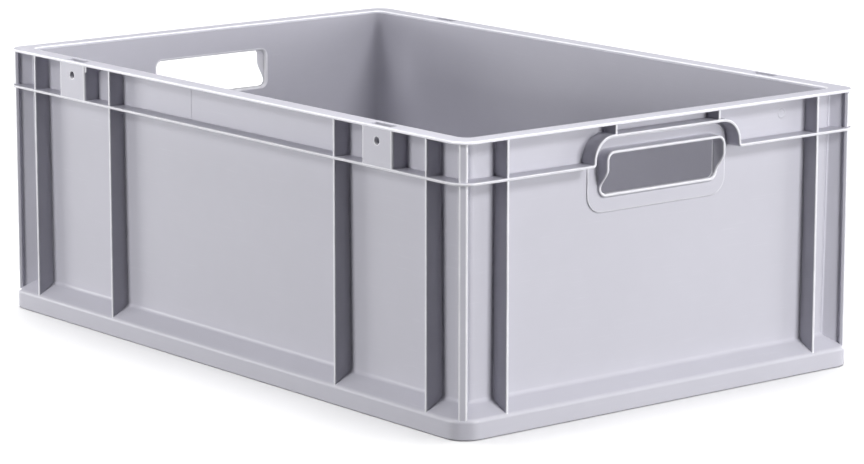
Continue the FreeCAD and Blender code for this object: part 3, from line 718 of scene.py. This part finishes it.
# Stage, lights, camera.
stage = {
    "floorSize": 30.0, "floorColour": (0.93, 0.93, 0.935, 1), "floorSecond": (0.95, 0.95, 0.95, 1),
    "skyFill": 0.015,                                          # light from all round, very weak
    "floorSun": {"strength": 5.3, "spread": 70, "tilt": (-9, -9)},
}
side = stage["floorSize"]
floorMesh = bpy.data.meshes.new("studioFloor")
floorMesh.from_pydata([(-side, -side, 0), (side, -side, 0), (side, side, 0), (-side, side, 0)], [],
                      [(0, 1, 2, 3)])
studioFloor = bpy.data.objects.new("studioFloor", floorMesh)
bpy.context.scene.collection.objects.link(studioFloor)
paper = Finish("studioPaper")
paperPlace = paper.add("ShaderNodeTexCoord", out=3)
paperTone = paper.add("ShaderNodeTexNoise", None, {"Vector": paperPlace, "Scale": 3.0, "Detail": 2.0})
paperShader = paper.add("ShaderNodeBsdfPrincipled", None, {
    "Base Color": paper.mixColour(paperTone, stage["floorColour"], stage["floorSecond"]), "Roughness": 0.9})
paper.add("ShaderNodeOutputMaterial", None, {"Surface": paperShader}, out=None)
floorMesh.materials.append(paper.material)
studioFloor.visible_diffuse = False      # the floor doesn't throw its light back up at the crate
studioFloor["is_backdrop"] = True

world = bpy.data.worlds.new("studioSky")
bpy.context.scene.world = world
world.use_nodes = True
tree = world.node_tree
tree.nodes.clear()
seen = tree.nodes.new("ShaderNodeBackground")
seen.inputs[0].default_value, seen.inputs[1].default_value = (1, 1, 1, 1), 1.3
fill = tree.nodes.new("ShaderNodeBackground")
fill.inputs[0].default_value, fill.inputs[1].default_value = (0.97, 0.98, 1, 1), stage["skyFill"]
pick = tree.nodes.new("ShaderNodeMixShader")
ray = tree.nodes.new("ShaderNodeLightPath")
result = tree.nodes.new("ShaderNodeOutputWorld")
tree.links.new(ray.outputs["Is Camera Ray"], pick.inputs[0])
tree.links.new(fill.outputs[0], pick.inputs[1])
tree.links.new(seen.outputs[0], pick.inputs[2])
tree.links.new(pick.outputs[0], result.inputs[0])

# Softboxes square on to each side of the crate, low and high, and one overhead: bearing in degrees from -Y
# towards +X, distance and height in metres, power in watts. They light the crate, two more light its rim
# alone, and the sun lights the floor.
softboxes = {
    "frontHigh": {"bearing": -14, "distance": 3.0, "height": 2.0, "size": (1.0, 0.8), "power": 33},
    "frontLow": {"bearing": -14, "distance": 3.0, "height": 0.25, "size": (1.0, 0.8), "power": 51},
    "frontSide": {"bearing": -58, "distance": 3.0, "height": 0.25, "size": (1.0, 0.8), "power": 28},
    "rightHigh": {"bearing": 104, "distance": 3.0, "height": 2.2, "size": (1.0, 0.8), "power": 62},
    "rightLow": {"bearing": 104, "distance": 3.0, "height": 0.25, "size": (1.0, 0.8), "power": 66},
    "rightSide": {"bearing": 148, "distance": 3.0, "height": 0.25, "size": (1.0, 0.8), "power": 21},
    "backLow": {"bearing": 194, "distance": 3.0, "height": 0.4, "size": (1.0, 0.8), "power": 40},
    "leftLow": {"bearing": 256, "distance": 3.0, "height": 0.4, "size": (1.0, 0.8), "power": 38},
    "overhead": {"bearing": 0, "distance": 0.0, "height": 2.5, "size": (2.0, 2.0), "power": 36},
    "rimFront": {"bearing": 51, "distance": 2.2, "height": 2.4, "size": (0.8, 0.8), "power": 36,
                 "rimOnly": True},
    "rimBack": {"bearing": 231, "distance": 2.2, "height": 2.4, "size": (0.8, 0.8), "power": 24,
                "rimOnly": True},
}
crateGroup = bpy.data.collections.new("crateLit")
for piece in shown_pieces():
    crateGroup.objects.link(piece)
rimGroup = bpy.data.collections.new("rimLit")
rimGroup.objects.link(topRim)
floorGroup = bpy.data.collections.new("floorLit")
floorGroup.objects.link(studioFloor)
for name, box in softboxes.items():
    light = bpy.data.lights.new(name, "AREA")
    light.shape, (light.size, light.size_y) = "RECTANGLE", box["size"]
    light.energy = box["power"]
    lamp = bpy.data.objects.new(name, light)
    bearing = math.radians(box["bearing"])
    lamp.location = (box["distance"] * math.sin(bearing), -box["distance"] * math.cos(bearing), box["height"])
    lamp.rotation_euler = (Vector((0, 0, 0.1)) - lamp.location).to_track_quat("-Z", "Y").to_euler()
    bpy.context.scene.collection.objects.link(lamp)
    lamp.light_linking.receiver_collection = rimGroup if box.get("rimOnly") else crateGroup
sun = bpy.data.lights.new("floorSun", "SUN")
sun.energy, sun.angle = stage["floorSun"]["strength"], math.radians(stage["floorSun"]["spread"])
sunLamp = bpy.data.objects.new("floorSun", sun)
sunLamp.rotation_euler = [math.radians(a) for a in (*stage["floorSun"]["tilt"], 0)]
bpy.context.scene.collection.objects.link(sunLamp)
sunLamp.light_linking.receiver_collection = floorGroup

view = {"place": (2.2852, -1.8348, 0.6672), "aim": (-0.0003, -0.0004, 0.0903), "lens": 153.2,
        "shift": (0.0178, -0.0080)}
cameraData = bpy.data.cameras.new("mainCamera")
cameraData.lens, cameraData.sensor_width = view["lens"], 36
cameraData.shift_x, cameraData.shift_y = view["shift"]
camera = bpy.data.objects.new("mainCamera", cameraData)
camera.location = view["place"]
camera.rotation_euler = (Vector(view["aim"]) - camera.location).to_track_quat("-Z", "Y").to_euler()
bpy.context.scene.collection.objects.link(camera)
bpy.context.scene.camera = camera
bpy.context.scene.view_settings.view_transform = "Standard"

print("stage set")
